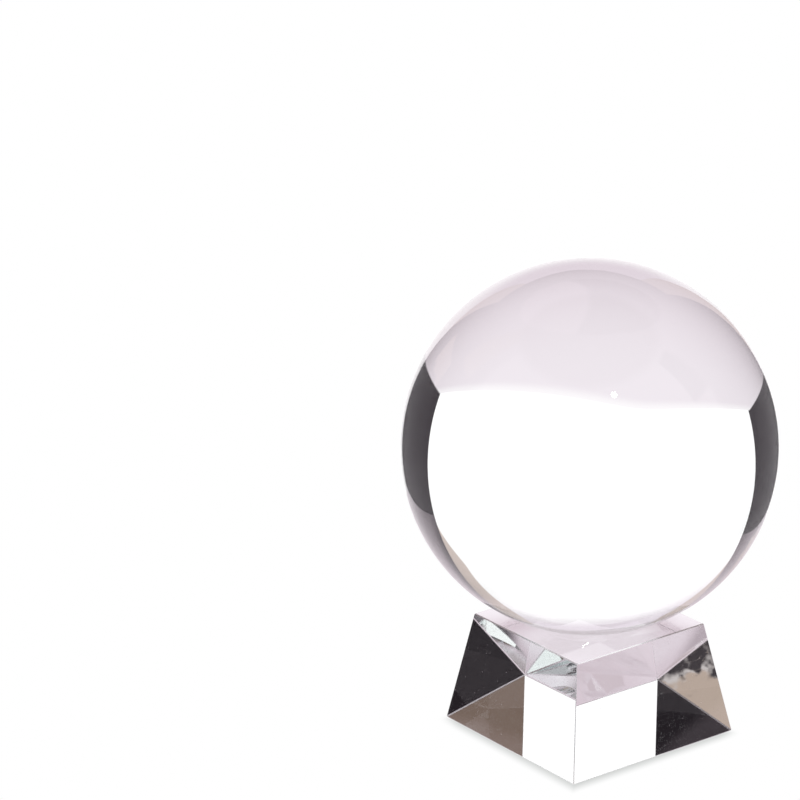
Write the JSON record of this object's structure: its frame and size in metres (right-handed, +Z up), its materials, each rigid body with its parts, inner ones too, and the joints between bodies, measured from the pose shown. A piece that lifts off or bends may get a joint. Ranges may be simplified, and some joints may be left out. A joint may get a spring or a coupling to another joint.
{
  "type": "crystal ball on a stand",
  "caption": "Solid clear crystal ball resting in the shallow seat of a tapered square crystal block, for display, juggling or divination acts.",
  "frame": {"origin": "middle of the block's square underside, on the surface it stands on", "axes": "+Z up through the middle of the block and the ball; the block's four sides face +X, -X, +Y and -Y"},
  "size_m": [0.2, 0.2, 0.2605],
  "materials": {
    "ball_crystal": "optically polished, clear",
    "stand_crystal": "polished faces and chamfers, finely ground seat"
  },
  "bodies": {
    "stand": {"stand_block": "stand_crystal"},
    "ball": {"crystal_ball": "ball_crystal"}
  },
  "joints": [
    {"name": "ball_lift", "type": "slide", "parent": "stand", "child": "ball", "axis": [0, 0, 1], "range_m": [0, 0.12]}
  ]
}
